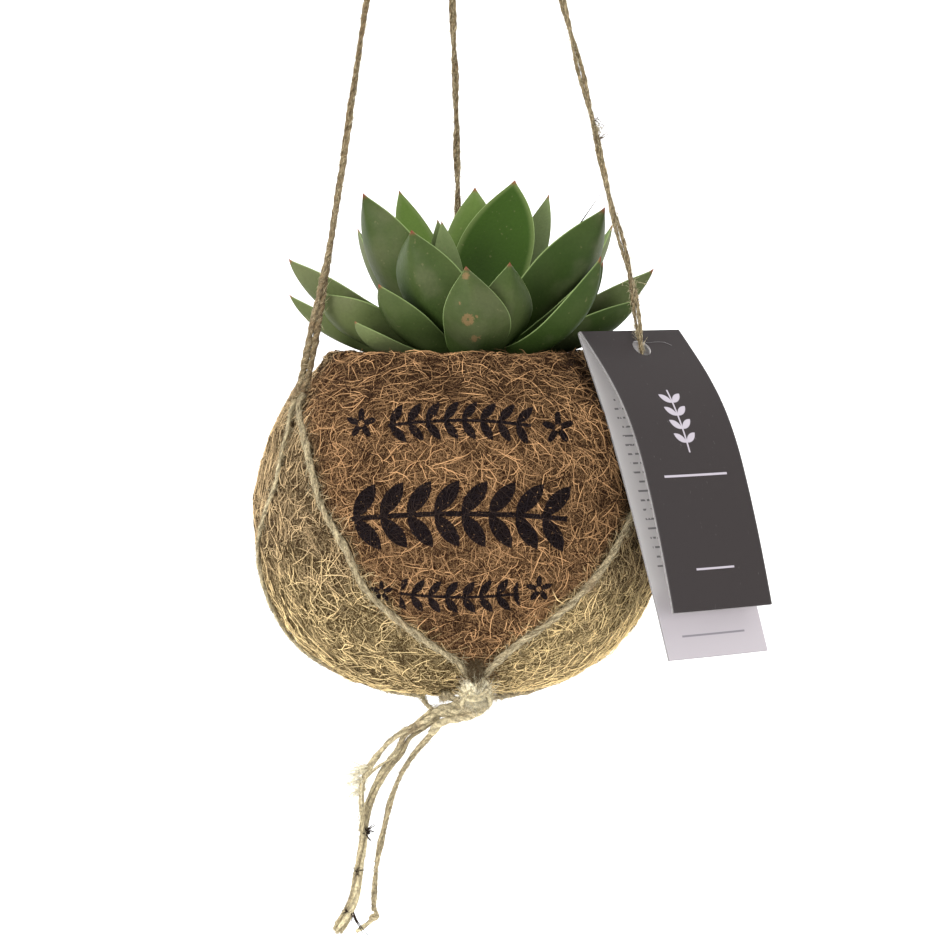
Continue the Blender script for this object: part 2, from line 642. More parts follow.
# The bottom knot: the strands cross in it, and its bundle of ends runs left and fans into the tails
core = knot_parts(KNOT_CENTRE, [5.2, 4.6, 4.8], 4, 2.6, 0.3, 1.1)
core += [
    twine_part(smooth_line(p), 2.3, 0.8, pitch=25.0)
    for p in (
        [[6.6, -54.6, -448.6], [9.5, -57.2, -451.5], [13.6, -58.2, -455], [15.6, -56.4, -459],
         [13.4, -53.6, -461.2]],
        [[13.6, -54.8, -449.2], [11, -58, -452.4], [7.2, -58.8, -455.4], [5.4, -57, -459.4],
         [8.6, -54.6, -461.6]],
        [[4.6, -55.6, -455.6], [8.4, -59.8, -457.4], [12.8, -59.6, -456.2], [15.4, -56.6, -453.4]],
    )
]
WRAP_RUNS = [
    # tail that the run goes to, how far it stands off the wrap's middle, thickness at its end
    ("tail_main", [0, 0, 3.2], 3.1), ("tail_left", [0, -2.4, 0.2], 2.2), ("tail_thin", [0, -1.8, -1.6], 2.0),
    ("tail_main", [0, 0.8, -1.4], 3.1),
]
for k, (name, away, end) in enumerate(WRAP_RUNS):
    run = [np.array(p) + np.array(away) * (1 - 0.25 * i) for i, p in enumerate(WRAP_ROUTE)]
    line = smooth_line(np.vstack([run, TAILS[name][0], TAILS[name][1]]))
    thickness = np.linspace(3.1, end, len(evened(line, 1.0)))
    core.append(twine_part(line, thickness, 0.68 + 0.05 * k))
lower = [
    [13.8, -54.6, -457.6], [14, -56.2, -460.6], [9.6, -57.2, -463.4], [3.6, -57, -464.9],
    [-2.4, -56.4, -466.4], [-6, -55.6, -470.4],
]
core.append(twine_part(smooth_line(lower), 2.8, 0.7))
knot = jute_piece("bottom_knot_turns", core)
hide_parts("bottom_knot")
knot_line = np.array(KNOT_CENTRE) + np.array([[0, 0, 0.5], [0, 0, -2.5], [0, 0, -5.5]])
hollow_line = np.array(KNOT_CENTRE) + np.array([[0, -0.5, 9.5], [0, -0.5, 6], [0, -1, 2.5]])
jute_piece("bottom_knot_fuzz", [
    fuzz_part(smooth_line(knot_line), 5.2, 330.0, 4.5, (0.9, 1.7)),
    fuzz_part(smooth_line(hollow_line), 3.4, 150.0, 4.5, (-0.2, 0.35)),
    fuzz_part(smooth_line(WRAP_ROUTE), 3.2, 30.0, 4.5),
])

# The top loop, a drop-shaped ring of two twines that bears on the hook, and the knot under it
angle = np.linspace(0, 2 * np.pi, 41)
ring = np.stack([
    6.5 * np.sin(angle) * (1 - 0.25 * (1 - np.cos(angle))), 0 * angle, -11 * (1 - np.cos(angle)),
], 1)
loop_parts = [twine_part(wound(ring, 0.55, 20.0, phase), 1.8, 0.5) for phase in (0.0, np.pi)]
loop_parts += knot_parts([0, 0, TOP_KNOT_Z], [5.0, 4.6, 6.2], 6, 2.2, 0.0)
loop = jute_piece("top_loop_twines", loop_parts)
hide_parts("top_loop")


# Coir

BALL_MIDDLE = np.array([BALL_X, 0, RIM_Z - 66])
MOUTH = np.array([BALL_X, 0, RIM_Z])
WALL_SUNK = 0.45  # mm by which the bumpy wall lies under the smooth outline on average


def waves(points, count, shortest, longest, seed):
    """Smooth bumps about 0: a sum of plane waves in random directions, between two wavelengths in mm."""
    own = np.random.default_rng(seed)
    way = unit(own.normal(size=(count, 3)))
    rate = 2 * np.pi / np.exp(own.uniform(np.log(shortest), np.log(longest), count))
    phase = own.uniform(0, 2 * np.pi, count)
    return np.sin(points @ (way * rate[:, None]).T + phase).sum(-1) / np.sqrt(count)


def swells(points):
    """Height in mm of the wall's broad bumps, 9 to 40 mm long, at places measured from the mouth."""
    return 0.55 * waves(points, 26, 9, 40, 3)


# Printed pattern, in metres: garlands as height of the stem's middle, bow radius, half length, leaf
# pitch, leaf length and leaf width; blossoms as place and size
PRINT_X = 0.0045
GARLANDS = [
    (-0.3560, 0.16, 0.0260, 0.0065, 0.0085, 0.0034), (-0.3890, 0.30, 0.0390, 0.0097, 0.0150, 0.0060),
    (-0.4190, -0.22, 0.0215, 0.0061, 0.0075, 0.0031),
]
BLOSSOMS = [
    (-0.0310, -0.3575, 0.0056), (0.0400, -0.3590, 0.0060), (-0.0235, -0.4175, 0.0042),
    (0.0330, -0.4165, 0.0050),
]


def motif(shader, x, z):
    """Share of ink of a printed pattern: garlands of leaf pairs on bowed stems, and small blossoms.

    Each stem is part of a circle with the bow's radius: across is the distance off it, and along the
    way along it. Every leaf is an eye shape, the overlap of two circles, turned by the lean, and u and v
    are measured along and across it.
    """
    ink = None
    for height, bow, half, pitch, length, width in GARLANDS:
        centre = height - bow
        far = shader.length(x - PRINT_X, z - centre)
        across = far - abs(bow)
        turn = shader.math("ARCTAN2", x - PRINT_X, (z - centre) * (1.0 if bow > 0 else -1.0))
        along = turn * abs(bow)
        cell = (shader.math("FRACT", along / pitch) - 0.5) * pitch
        lean = np.radians(52)
        out, forward = abs(across), cell + 0.28 * length
        u = forward * np.cos(lean) + out * np.sin(lean) - length * 0.5
        v = out * np.cos(lean) - forward * np.sin(lean)
        bulge = (length**2 - width**2) / (4 * width)
        inside = shader.length(u, abs(v) + bulge) - (bulge + width / 2)
        leaf = shader.below(inside, -0.00025, 0.00015)
        stem = shader.below(out, width * 0.13, width * 0.13 + 0.0003)
        both = shader.math("MAXIMUM", leaf, stem) * shader.below(abs(along), half - 0.0004, half)
        ink = both if ink is None else shader.math("MAXIMUM", ink, both)
    for cx, cz, size in BLOSSOMS:
        far = shader.length(x - cx, z - cz)
        turn = shader.math("ARCTAN2", x - cx, z - cz)
        petals = size * (0.66 + 0.34 * shader.math("COSINE", turn * 5.0))
        bloom = shader.below(far - petals, -0.0003, 0.0002)
        ring = shader.smooth(far, size * 0.16, size * 0.24)
        ink = shader.math("MAXIMUM", ink, bloom * ring)
    return ink


LEFT_EDGE = np.array([over_ball(*p) for p in [[-84, 0], [-76, 0.08], *STRANDS["strand_front_left"][0]]])
RIGHT_EDGE = np.array([over_ball(*p) for p in [[82, 0], [78, 0.15], *STRANDS["strand_front_right"][0]]])


def panel_share(points):
    """How far points lie inside the front panel, from 0 outside it to 1, in a 9 mm wide blend."""
    left = np.interp(-points[..., 2], -LEFT_EDGE[:, 2], LEFT_EDGE[:, 0])
    right = np.interp(-points[..., 2], -RIGHT_EDGE[:, 2], RIGHT_EDGE[:, 0])
    inside = np.minimum(points[..., 0] - left, right - points[..., 0])
    inside = np.where((points[..., 1] > 0) | (points[..., 2] < RIM_Z - 120), -9.0, inside)
    return np.clip((inside + 3) / 9, 0, 1)


def coir_colour(shader, tint):
    """Colour of coir: warm brown on the front panel, greyish at the sides, straw below, and the print."""
    place = shader.place()
    x, y, z = shader.axes(place)
    blotch = shader.noise(place, 90.0, 3.0)
    brown = shader.smooth(shader.attribute("panel") + (blotch - 0.5) * 0.7, 0.15, 0.85)
    low = shader.smooth(z + (blotch - 0.5) * 0.05, -0.395, -0.435)
    side_dark = shader.colour(low, (0.050, 0.030, 0.014), (0.066, 0.041, 0.016))
    side_pale = shader.colour(low, (0.66, 0.475, 0.255), (1.0, 0.76, 0.38))
    dark = shader.colour(brown, side_dark, (0.030, 0.013, 0.006))
    pale = shader.colour(brown, side_pale, (0.58, 0.330, 0.154))
    bleached = low * (shader.smooth(x, 0.0, 0.055) * 0.20 - 0.05)
    shaded = brown * (shader.smooth(z, -0.365, -0.340) * 0.12 - 0.03)
    share = shader.smooth(tint + (blotch - 0.5) * 0.5 + bleached - shaded, 0.02, 0.98)
    colour = shader.colour(share, dark, pale)
    ragged = shader.noise(place, 900.0, 2.0)
    ink = motif(shader, x, z) * shader.below(y, -0.02, 0.0)
    ink = ink * shader.smooth(ragged, 0.24, 0.36)
    return shader.colour(ink * 0.97, colour, (0.010, 0.007, 0.009))


def fibre_texture(shader):
    """A felt of fine curved fibres: thin level lines of several stretched noises, laid over each other."""
    place = shader.place()
    felt = None
    for stretch, scale in [
        ((1.0, 1.0, 2.6), 380.0), ((2.4, 1.6, 0.8), 350.0),
        ((0.7, 1.2, 1.9), 520.0), ((1.8, 0.8, 1.1), 640.0),
    ]:
        wave = shader.noise(shader.stretched(place, stretch), scale, 2.0, 0.45)
        line = shader.below(abs(wave - 0.5), 0.004, 0.05)
        felt = line if felt is None else shader.math("MAXIMUM", felt * 0.8, line)
    return felt


shell = Shader("coir_shell", Roughness=0.95, Specular_IOR_Level=0.05)
felt = fibre_texture(shell)
grain = shell.noise(shell.place(), 1500.0, 2.0, 0.6)
shell.set(
    Base_Color=coir_colour(shell, felt * 0.55 + (grain - 0.5) * 0.5),
    Normal=shell.bump(felt, 0.0012, 1.0),
)
fibre = Shader("coir_fibre", Roughness=0.8, Specular_IOR_Level=0.08)
fibre.set(Base_Color=coir_colour(fibre, fibre.attribute("tint")))

FIBRES = 7200  # in each of three layers
LIP_FIBRES = 650
STRAY_FIBRES = 1150
SHELL_ROWS = 130
SHELL_COLUMNS = 230
# Section of the wall from the bottom up, over the lip and down inside
wall = np.vstack([
    POT_OUTLINE[::-1],
    [[45, -2], [47, -6], [54, -15], [63, -31], [69.5, -52], [71, -70], [67.5, -88], [57.5, -103.5],
     [44, -114.5], [28, -120.2], [0, -122.6]],
])
wall = smooth_line(wall, 20, "repeated")
section = evened(wall, distances(wall)[-1] / SHELL_ROWS)
way = unit(np.gradient(section, axis=0))
outward = np.stack([way[:, 1], -way[:, 0]], 1)
turn = 2 * np.pi * np.arange(SHELL_COLUMNS) / SHELL_COLUMNS
on = np.stack([
    section[:, :1] * np.sin(turn), -section[:, :1] * np.cos(turn), section[:, 1:] + 0 * turn,
], -1)
push = np.stack([
    outward[:, :1] * np.sin(turn), -outward[:, :1] * np.cos(turn), outward[:, 1:] + 0 * turn,
], -1)
bumps = swells(on) + 0.28 * waves(on, 30, 3.5, 9, 4) - WALL_SUNK
bumps = bumps * np.minimum(1, section[:, 0] / 12)[:, None]
on = on + push * bumps[..., None] + MOUTH
points, faces = closed_tube(on)
pot = make_piece("coir_shell", [(points, faces, {"panel": panel_share(points)})], [shell.material])
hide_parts("coir_pot")


def coir_fibres(count, low, high, steps=4):
    """Curved fibres lying on the ball between two heights over it in mm, their ends tucked in.

    At the lip over half of them run level, and at the sides and the back over half run downwards.
    """
    share = np.linspace(0, 1, 400)
    weight = np.interp(share, outline_far, outline[:, 0]) + 4
    down = np.interp(rng.uniform(0, 1, count), np.cumsum(weight) / weight.sum(), share)
    azimuth = rng.uniform(0, 360, count)
    heading = rng.uniform(0, 2 * np.pi, count)
    combed = rng.uniform(0, 1, count) < 0.55
    round_lip = (down < 0.14) & combed
    at_side = (down >= 0.14) & combed & (np.cos(np.radians(azimuth)) < 0.6)
    heading = np.where(round_lip, rng.normal(size=count) * 0.4, heading)
    heading = np.where(at_side, np.pi / 2 + rng.normal(size=count) * 0.6, heading)
    bend = rng.normal(size=count) * 0.75
    length = rng.uniform(4, 15, count)
    t = np.linspace(-0.5, 0.5, steps)[None, :]
    angle = heading[:, None] + bend[:, None] * t * 2
    step = length[:, None] / (steps - 1)
    radius = np.maximum(np.interp(down, outline_far, outline[:, 0]), 14)[:, None]
    across = np.cumsum(np.cos(angle) * step, 1)
    along = np.cumsum(np.sin(angle) * step, 1)
    across -= across.mean(1, keepdims=True)
    along -= along.mean(1, keepdims=True)
    azimuths = azimuth[:, None] + np.degrees(across / radius)
    downs = np.clip(down[:, None] + along / OUTLINE_LENGTH, 0.0, 0.999)
    layer = rng.uniform(low, high, count)[:, None]
    lift = layer + (0.5 - 2.2 * t**2) * rng.uniform(0.1, 0.9, count)[:, None]
    line = over_ball(azimuths, downs, lift)
    base = swells(line - MOUTH) - WALL_SUNK
    line = line + base[..., None] * unit(line - BALL_MIDDLE)
    tangent = unit(np.gradient(line, axis=1))
    out = unit(line - BALL_MIDDLE)
    side = unit(np.cross(tangent, out))
    width = rng.uniform(0.18, 0.40, count)[:, None, None] * (1 - 0.5 * (2 * np.abs(t)) ** 3)[..., None] / 2
    rings = np.stack([line - side * width, line + side * width, line + out * width * 1.3], 2)
    size = steps * 3
    one = grid_faces(steps, 3)[:, ::-1]
    faces = (one[None] + (np.arange(count) * size)[:, None, None]).reshape(-1, 4)
    depth = (layer[:, 0] - low) / (high - low)
    tone = np.clip(0.22 + 0.45 * depth + rng.normal(size=count) * 0.30, 0, 1.1)
    tints = tone[:, None] * np.array([0.45, 0.45, 1.15])  # dark at both sides and pale on the ridge
    panel = panel_share(line[:, steps // 2])
    attributes = {"tint": np.tile(tints, steps).ravel(), "panel": np.repeat(panel, size)}
    return rings.reshape(-1, 3), [faces], attributes


for k, (low, high) in enumerate([(-0.2, 0.3), (0.0, 0.5), (0.15, 0.75)]):
    make_piece("coir_fibres_%d" % (k + 1), [coir_fibres(FIBRES, low, high)], [fibre.material])

# Loose fibres round the lip and standing off the ball
azimuth = rng.uniform(0, 360, LIP_FIBRES)
starts = over_ball(azimuth, rng.uniform(0, 0.03, LIP_FIBRES), 0.0)
ways = unit(rng.normal(size=(LIP_FIBRES, 3)) * [1, 1, 0.45] + [0, 0, 0.25])
lip = hair_parts(
    starts, ways, rng.uniform(1, 4.2, LIP_FIBRES),
    rng.normal(size=(LIP_FIBRES, 3)) * [0.3, 0.3, 0.2] - [0, 0, 0.25],
    rng.uniform(0.14, 0.28, LIP_FIBRES), rng.uniform(0, 0.7, LIP_FIBRES), 4,
)
azimuth = rng.uniform(0, 360, STRAY_FIBRES)
starts = over_ball(azimuth, rng.uniform(0.05, 0.97, STRAY_FIBRES), 0.0)
out = unit(starts - BALL_MIDDLE)
ways = unit(rng.normal(size=(STRAY_FIBRES, 3)) + out * 0.5)
stray = hair_parts(
    starts, ways, rng.uniform(2, 6, STRAY_FIBRES), -out * 0.4 + rng.normal(size=(STRAY_FIBRES, 3)) * 0.2,
    rng.uniform(0.14, 0.3, STRAY_FIBRES), rng.uniform(0.4, 1, STRAY_FIBRES), 4,
)
for loose in (lip, stray):
    loose[2]["panel"] = panel_share(loose[0])
make_piece("coir_strays", [lip, stray], [fibre.material])

# Soil
soil = Shader("potting_soil", Roughness=1.0, Specular_IOR_Level=0.1)
place = soil.place()
lumps = soil.noise(place, 420.0, 5.0, 0.7)
soil.set(
    Base_Color=soil.colour(soil.smooth(lumps, 0.4, 0.75), (0.012, 0.008, 0.006), (0.075, 0.048, 0.030)),
    Normal=soil.bump(lumps, 0.003),
)
soil_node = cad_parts["soil"]
soil_node.data.materials.clear()
soil_node.data.materials.append(soil.material)
count = 420  # crumbs
angle = rng.uniform(0, 2 * np.pi, count)
out = 47 * np.sqrt(rng.uniform(0.06, 1, count))
middles = np.stack([BALL_X + out * np.cos(angle), out * np.sin(angle), np.full(count, RIM_Z - 10.8)], 1)
corner = np.array([[1, 0, 0], [-1, 0, 0], [0, 1, 0], [0, -1, 0], [0, 0, 1], [0, 0, -1]], float)
# Faces of an eight-sided crumb
octa = np.array([[0, 2, 4], [2, 1, 4], [1, 3, 4], [3, 0, 4], [2, 0, 5], [1, 2, 5], [3, 1, 5], [0, 3, 5]])
sizes = rng.uniform(0.7, 2.0, (count, 1, 1)) * rng.uniform(0.6, 1.2, (count, 6, 1))
crumb_points = middles[:, None] + corner[None] * sizes
crumb_faces = (octa[None] + (np.arange(count) * 6)[:, None, None]).reshape(-1, 3)
crumbs = (crumb_points.reshape(-1, 3), [crumb_faces], {"tint": 0.3})
make_piece("soil_crumbs", [crumbs], [soil.material], smooth=False)

# Succulent
STEM_X = BALL_X + 3
STEM_Y = -1
UP = np.array([0, 0, 1.0])
LEAF_ROOT_RADIUS = 6
LEAF_ROOT_Z = -5
LEAF_WIDEST = 0.56  # share of the length
LEAF_TAPER = 0.44  # share of the length beyond the widest place
LEAF_THICKNESS = 0.2  # share of the width
LEAF_CUP = 0.2  # how far the margins stand up, as a share of the half width
# The same leaves as in part.mjs: azimuth, reach and height of the tip, width, reach and height of the
# point that the middle line bends towards, roll in degrees, and bow to the side
LEAVES = [
    [-74, 40.9, 59.6, 29, 28, 24, 32, 0], [-145, 46.9, 62.9, 20, 30, 28, 0, 0],
    [176, 39.9, 64.1, 24, 26, 26, 0, 0], [152, 39, 66.6, 34, 20, 28, 0, 0],
    [140, 49.2, 61.3, 19, 35, 22, 0, 0], [74, 53.3, 54.2, 30, 36, 16, -35, 0],
    [105, 57.2, 48.5, 22, 42, 12, 0, 0], [52, 61.8, 35.2, 21, 50, -2, 0, 0],
    [78, 51.8, 33.8, 21, 42, 4, -20, 0], [95, 70.9, 31.5, 25, 46, 3, -30, 0],
    [84, 64.7, 20, 21, 46, 1, -25, 0], [24, 37.8, 33.2, 24, 40, 4, 0, 0], [-1, 43, 31.6, 25, 46, 1, 0, 4],
    [-36, 35.4, 45.2, 33, 32, 16, 0, 3.2], [-48, 44.4, 25.1, 25, 30, 3, 0, 0],
    [-56, 50.4, 11.5, 17, 42, -1, 0, 0], [-99, 69.2, 35.4, 26, 48, 9, 30, 0],
    [-74, 58.3, 22.1, 27, 43, 5, 26, 0], [-89, 67.6, 21.7, 18, 48, -1, 20, 0],
    [-112, 45.6, 47.3, 22, 32, 14, 10, 0], [-105, 11.9, 50.4, 12, 9, 22, -60, 0],
    [-95, 10, 49.6, 13, 7, 22, -60, 0], [-55, 15, 36, 14, 13, 14, 0, 0], [100, 12, 26, 13, 11, 10, 0, 0],
    [-150, 13, 34, 14, 11, 14, 0, 0],
]
# How pale each leaf of the list above is, mostly from 0 to 1; from 1.4 up it is paler still
LEAF_TINTS = [
    0.30, 1.5, 1.6, 0.1, 2.2, 0.22, 1, -0.1, 0.02, 0.6, 0.15, 0.24, 0.28, 0.24, 0.34, 1.6, 0.8, 0.7, 0.8, 0.9,
    2, 2, 0.8, 0.6, 0.6,
]
BACK_WHORLS = [
    ([128, 150, 203, 226, 248], 57, 17, 24, [42, 0]), ([122, 195, 214, 230], 46, 38, 23, [34, 10]),
]
for azimuths, reach, height, width, bend in BACK_WHORLS:
    for k, azimuth in enumerate(azimuths):
        vary = 4 * np.sin(2.4 * k + reach)
        LEAVES.append([azimuth, reach + vary, height - vary, width, *bend, 0, 0])


def leaf_part(index, leaf, rows=34, half_columns=15):
    """A fleshy leaf along a bent middle line, hollow above and keeled below."""
    azimuth, reach, height, width, bend_reach, bend_height, roll, bow = leaf
    t = np.linspace(0, 1, rows) ** 0.9
    root = np.array([LEAF_ROOT_RADIUS, LEAF_ROOT_Z + 0.1 * height], float)
    knee = np.array([bend_reach, bend_height], float)
    tip = np.array([reach, height], float)
    flat = (1 - t)[:, None] ** 2 * root + (2 * t * (1 - t))[:, None] * knee + t[:, None] ** 2 * tip
    go = unit((1 - t)[:, None] * (knee - root) + t[:, None] * (tip - knee))
    turn = np.radians(azimuth)
    outward = np.array([np.sin(turn), -np.cos(turn), 0])
    level = np.array([np.cos(turn), np.sin(turn), 0])
    line = np.array([STEM_X, STEM_Y, RIM_Z]) + flat[:, :1] * outward + flat[:, 1:] * UP
    line = line + (bow * np.sin(np.pi * t))[:, None] * level
    inward = -go[:, 1:] * outward + go[:, :1] * UP
    rolled = (np.radians(roll) * np.minimum(1, t / 0.4))[:, None]
    side = level * np.cos(rolled) + inward * np.sin(rolled)
    upper = inward * np.cos(rolled) - level * np.sin(rolled)
    swell = 0.55 + 0.45 * np.sin(np.pi / 2 * np.minimum(t / LEAF_WIDEST, 1))
    taper = (1 - np.clip((t - LEAF_WIDEST) / LEAF_TAPER, 0, 1) ** 2.1) * (1 - 0.35 * t**24)
    half = width / 2 * np.where(t < LEAF_WIDEST, swell, taper)
    thick = LEAF_THICKNESS * width * np.minimum(1, (2 * half / width) ** 0.8 + 0.05)
    s = np.linspace(-1, 1, half_columns + 1)
    across = np.sin(np.pi / 2 * s)
    own = np.random.default_rng(100 + index)
    wave = 0.25 * np.sin(own.uniform(0, 6) + t * own.uniform(3, 6))[:, None]
    cup = LEAF_CUP * half[:, None] * across**2
    top = cup + 0.22 * thick[:, None] * (1 - across**2) + wave * (1 - across**2)
    keel = 0.8 * (1 - np.abs(across)) + 0.2 * np.sqrt(np.maximum(1 - across**2, 0))
    under = cup - 0.85 * thick[:, None] * keel
    dome = np.sqrt(np.maximum(1 - across**2, 0))
    round_edge = 0.028 * width * np.sqrt(np.minimum(half, 3) / 3)[:, None] * dome
    up = np.concatenate([top + round_edge * 0.3, (under - round_edge * 0.2)[:, ::-1][:, 1:-1]], 1)
    x = np.concatenate([across, across[::-1][1:-1]])
    face = np.concatenate([np.ones(len(across)), np.zeros(len(across) - 2)])
    rings = line[:, None] + (half[:, None] * x)[..., None] * side[:, None] + up[..., None] * upper[:, None]
    points, faces = closed_tube(rings[:, ::-1])

    def per_point(values):
        """A value for each point of the turned rings, and for the two end points."""
        turned = np.broadcast_to(values, rings.shape[:2])[:, ::-1]
        return np.concatenate([turned.ravel(), [values.ravel()[0], values.ravel()[-1]]])

    margin = half[:, None] * (1 - np.abs(x))
    attributes = {
        "along": per_point(t[:, None] + 0 * x),
        "margin": per_point(margin),
        "inner": per_point(face + 0 * margin),
        "tint": LEAF_TINTS[index] if index < len(LEAF_TINTS) else own.uniform(0.2, 0.9),
    }
    return points, faces, attributes


leaf = Shader("succulent_leaf", Specular_IOR_Level=0.06)
place = leaf.place()
along, margin, inner, tint = (leaf.attribute(n) for n in ("along", "margin", "inner", "tint"))
cloud = leaf.noise(place, 38.0, 2.0)
grain = leaf.noise(place, 900.0, 2.0)
speck = leaf.smooth(leaf.noise(place, 520.0, 1.0), 0.70, 0.78)
inside = leaf.colour(leaf.smooth(tint, 0.0, 1.0), (0.022, 0.049, 0.004), (0.062, 0.108, 0.015))
inside = leaf.colour(leaf.smooth(margin, 3.2, 0.2) * 0.8, inside, (0.100, 0.135, 0.042))
paler = (cloud - 0.5) * 0.55 + (along - 0.55) * 0.12 + (tint - 0.5) * 0.45
outside = leaf.colour(leaf.smooth(paler, -0.3, 0.3), (0.024, 0.043, 0.009), (0.084, 0.100, 0.038))
bloom = leaf.smooth(leaf.noise(place, 55.0, 3.0), 0.46, 0.66)
outside = leaf.colour(bloom * 0.22, outside, (0.120, 0.112, 0.070))
green = leaf.colour(inner, outside, inside)
green = leaf.colour(leaf.smooth(along, 0.5, 0.05) * 0.35, green, (0.10, 0.17, 0.035))
rim = leaf.below(margin, 0.05, 0.4) * leaf.smooth(along, 0.1, 0.4)
green = leaf.colour(rim * (0.35 + 0.3 * inner), green, (0.27, 0.36, 0.14))
green = leaf.colour(leaf.smooth(tint, 1.4, 2.0) * 0.8, green, (0.15, 0.19, 0.08))
red = leaf.smooth(along, 0.962, 0.998)
green = leaf.colour(red * 0.85, green, (0.19, 0.036, 0.026))
green = leaf.colour(speck * 0.2, green, (0.20, 0.17, 0.09))
# Old scars on the front leaf, a corky ring and a few small marks: place, ring radius and thickness
SCARS = [
    (0.0075, -0.3199, 0.0013, 0.0009), (0.0108, -0.3188, 0.0, 0.0004), (0.0099, -0.3269, 0.0, 0.0012),
    (0.0118, -0.3264, 0.0, 0.0005), (0.0045, -0.3139, 0.0, 0.0004), (0.0068, -0.3040, 0.0, 0.0013),
]
x, y, z = leaf.axes(place)
ragged = leaf.noise(place, 1500.0, 2.0)
front = leaf.smooth(y, -0.030, -0.033)
for at_x, at_z, ring, thick in SCARS:
    far = leaf.length(x - at_x, z - at_z)
    mark = leaf.below(abs(far - ring) + (ragged - 0.5) * 0.0022, thick * 0.6, thick * 1.3)
    green = leaf.colour(mark * front * 0.8, green, (0.155, 0.098, 0.045))
leaf.set(
    Base_Color=leaf.shaded(green, 0.86 + 0.28 * grain),
    Roughness=0.42 + 0.2 * cloud,
    Normal=leaf.bump(grain, 0.0003, 0.35),
)
parts = [leaf_part(k, v) for k, v in enumerate(LEAVES)]
# The stem, as [radius, height over the mouth]
stem = np.array([[1, -25.7], [7.5, -25.7], [8.5, -23], [8.5, -5], [6, 4], [1, 4.2]])
turn = 2 * np.pi * np.arange(20) / 20
rings = np.stack([
    STEM_X + stem[:, :1] * np.cos(turn), STEM_Y + stem[:, :1] * np.sin(turn), RIM_Z + stem[:, 1:] + 0 * turn,
], -1)
points, faces = closed_tube(rings)
parts.append((points, faces, {"along": 0.1, "margin": 9.0, "inner": 0.0, "tint": 0.5}))
rosette = make_piece("rosette", parts, [leaf.material])
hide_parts("succulent")


def on_leaf(index, low, high, count):
    """Random places on a leaf's outer face between two shares of its length."""
    points, _, attributes = parts[index]
    fits = (attributes["inner"] < 0.5) & (attributes["along"] > low) & (attributes["along"] < high)
    return points[rng.choice(np.flatnonzero(fits), count)]


def distance_from(points, place):
    """Distance of each point from a place."""
    return np.linalg.norm(points - np.array(place), axis=1)


# Straw caught on the right leaf's tip and a dark hair on the leaf above it
STRAW_LEAF, HAIR_LEAF = 9, 5
count = 26
starts = on_leaf(STRAW_LEAF, 0.72, 0.93, count) + rng.normal(size=(count, 3)) * 0.3
ways = unit(rng.normal(size=(count, 3)) * [1, 0.15, 1])
straw_bits = hair_parts(
    starts, ways, rng.uniform(3, 8, count), rng.normal(size=(count, 3)) * [0.4, 0.05, 0.4],
    np.full(count, 0.22), np.full(count, 0.9), 6,
)
hair_leaf = parts[HAIR_LEAF][0]
near_tip = hair_leaf[np.argmin(distance_from(hair_leaf, [48.6, -15.5, -280.5]))][None]
hair = hair_parts(
    near_tip, np.array([[0.50, 0, 0.72]]), np.array([12.8]),
    np.array([[0.07, 0, 0.10]]), np.array([0.6]), np.array([-0.6]), 8,
)
jute_piece("leaf_litter", [straw_bits, hair])

# Card tag. Its own directions: out of the front, along from the fold to the free end, and across
TAG_WIDTH = 48.0
CARD = 0.8
FOLD_GAP = 0.7
TAG_HOLE_PLACE = np.array([72, -23.1, -330.6])
TAG_HOLE_DOWN = 8.6
TAG_HOLE_RADIUS = 3.8
TAG_YAW, TAG_TILT, TAG_ROLL = np.radians([37, 25, 1.0])
# Length of each leaf of the card, and its lean in degrees at distances from the fold
TAG_FRONT = (114.2, [[0, 20], [15, 19], [30, 12], [45, 2], [60, -5], [90, -9], [115, -11]])
TAG_BACK = (126.8, [[0, 2], [20, 1], [40, -1], [60, -3], [80, -4], [100, -5], [127, -5.5]])


def card_line(length, lean, steps=48):
    """Side view of one leaf of the card, as [along, out] from the fold."""
    middle = (np.arange(steps) + 0.5) * length / steps
    knots = np.array(lean, float)
    angle = np.radians(np.interp(middle, knots[:, 0], knots[:, 1]))
    step = length / steps
    line = np.stack([np.cumsum(np.cos(angle) * step), np.cumsum(np.sin(angle) * step)], 1)
    return np.vstack([[0, 0], line])


front_line, back_line = card_line(*TAG_FRONT), card_line(*TAG_BACK)
out = np.array([np.sin(TAG_YAW) * np.cos(TAG_TILT), -np.cos(TAG_YAW) * np.cos(TAG_TILT), np.sin(TAG_TILT)])
level = np.array([np.cos(TAG_YAW), np.sin(TAG_YAW), 0])
along_way = np.array(Matrix.Rotation(TAG_ROLL, 3, Vector(out)) @ Vector(np.cross(level, out)))
if along_way[2] > 0:
    along_way = -along_way
across_way = np.cross(along_way, out)
half_gap = FOLD_GAP / 2
first = np.array([np.interp(TAG_HOLE_DOWN, distances(front_line), front_line[:, k]) for k in range(2)])
fold = TAG_HOLE_PLACE - along_way * first[0] - out * (first[1] + half_gap + CARD / 2)
outer = np.vstack([
    (front_line + [0, half_gap + CARD])[::-1],
    [[-CARD * 0.75, 0.75 * (half_gap + CARD)], [-CARD, 0.3 * CARD]],
    [[-CARD, -0.3 * CARD], [-CARD * 0.75, -0.75 * (half_gap + CARD)]],
    back_line - [0, half_gap + CARD],
])
inner_side = np.vstack([
    (front_line + [0, half_gap])[::-1],
    [[-0.1, 0.2], [-0.15, 0.08], [-0.15, -0.08], [-0.1, -0.2]],
    back_line - [0, half_gap],
])
columns = 25
across_at = np.linspace(-TAG_WIDTH / 2, TAG_WIDTH / 2, columns)


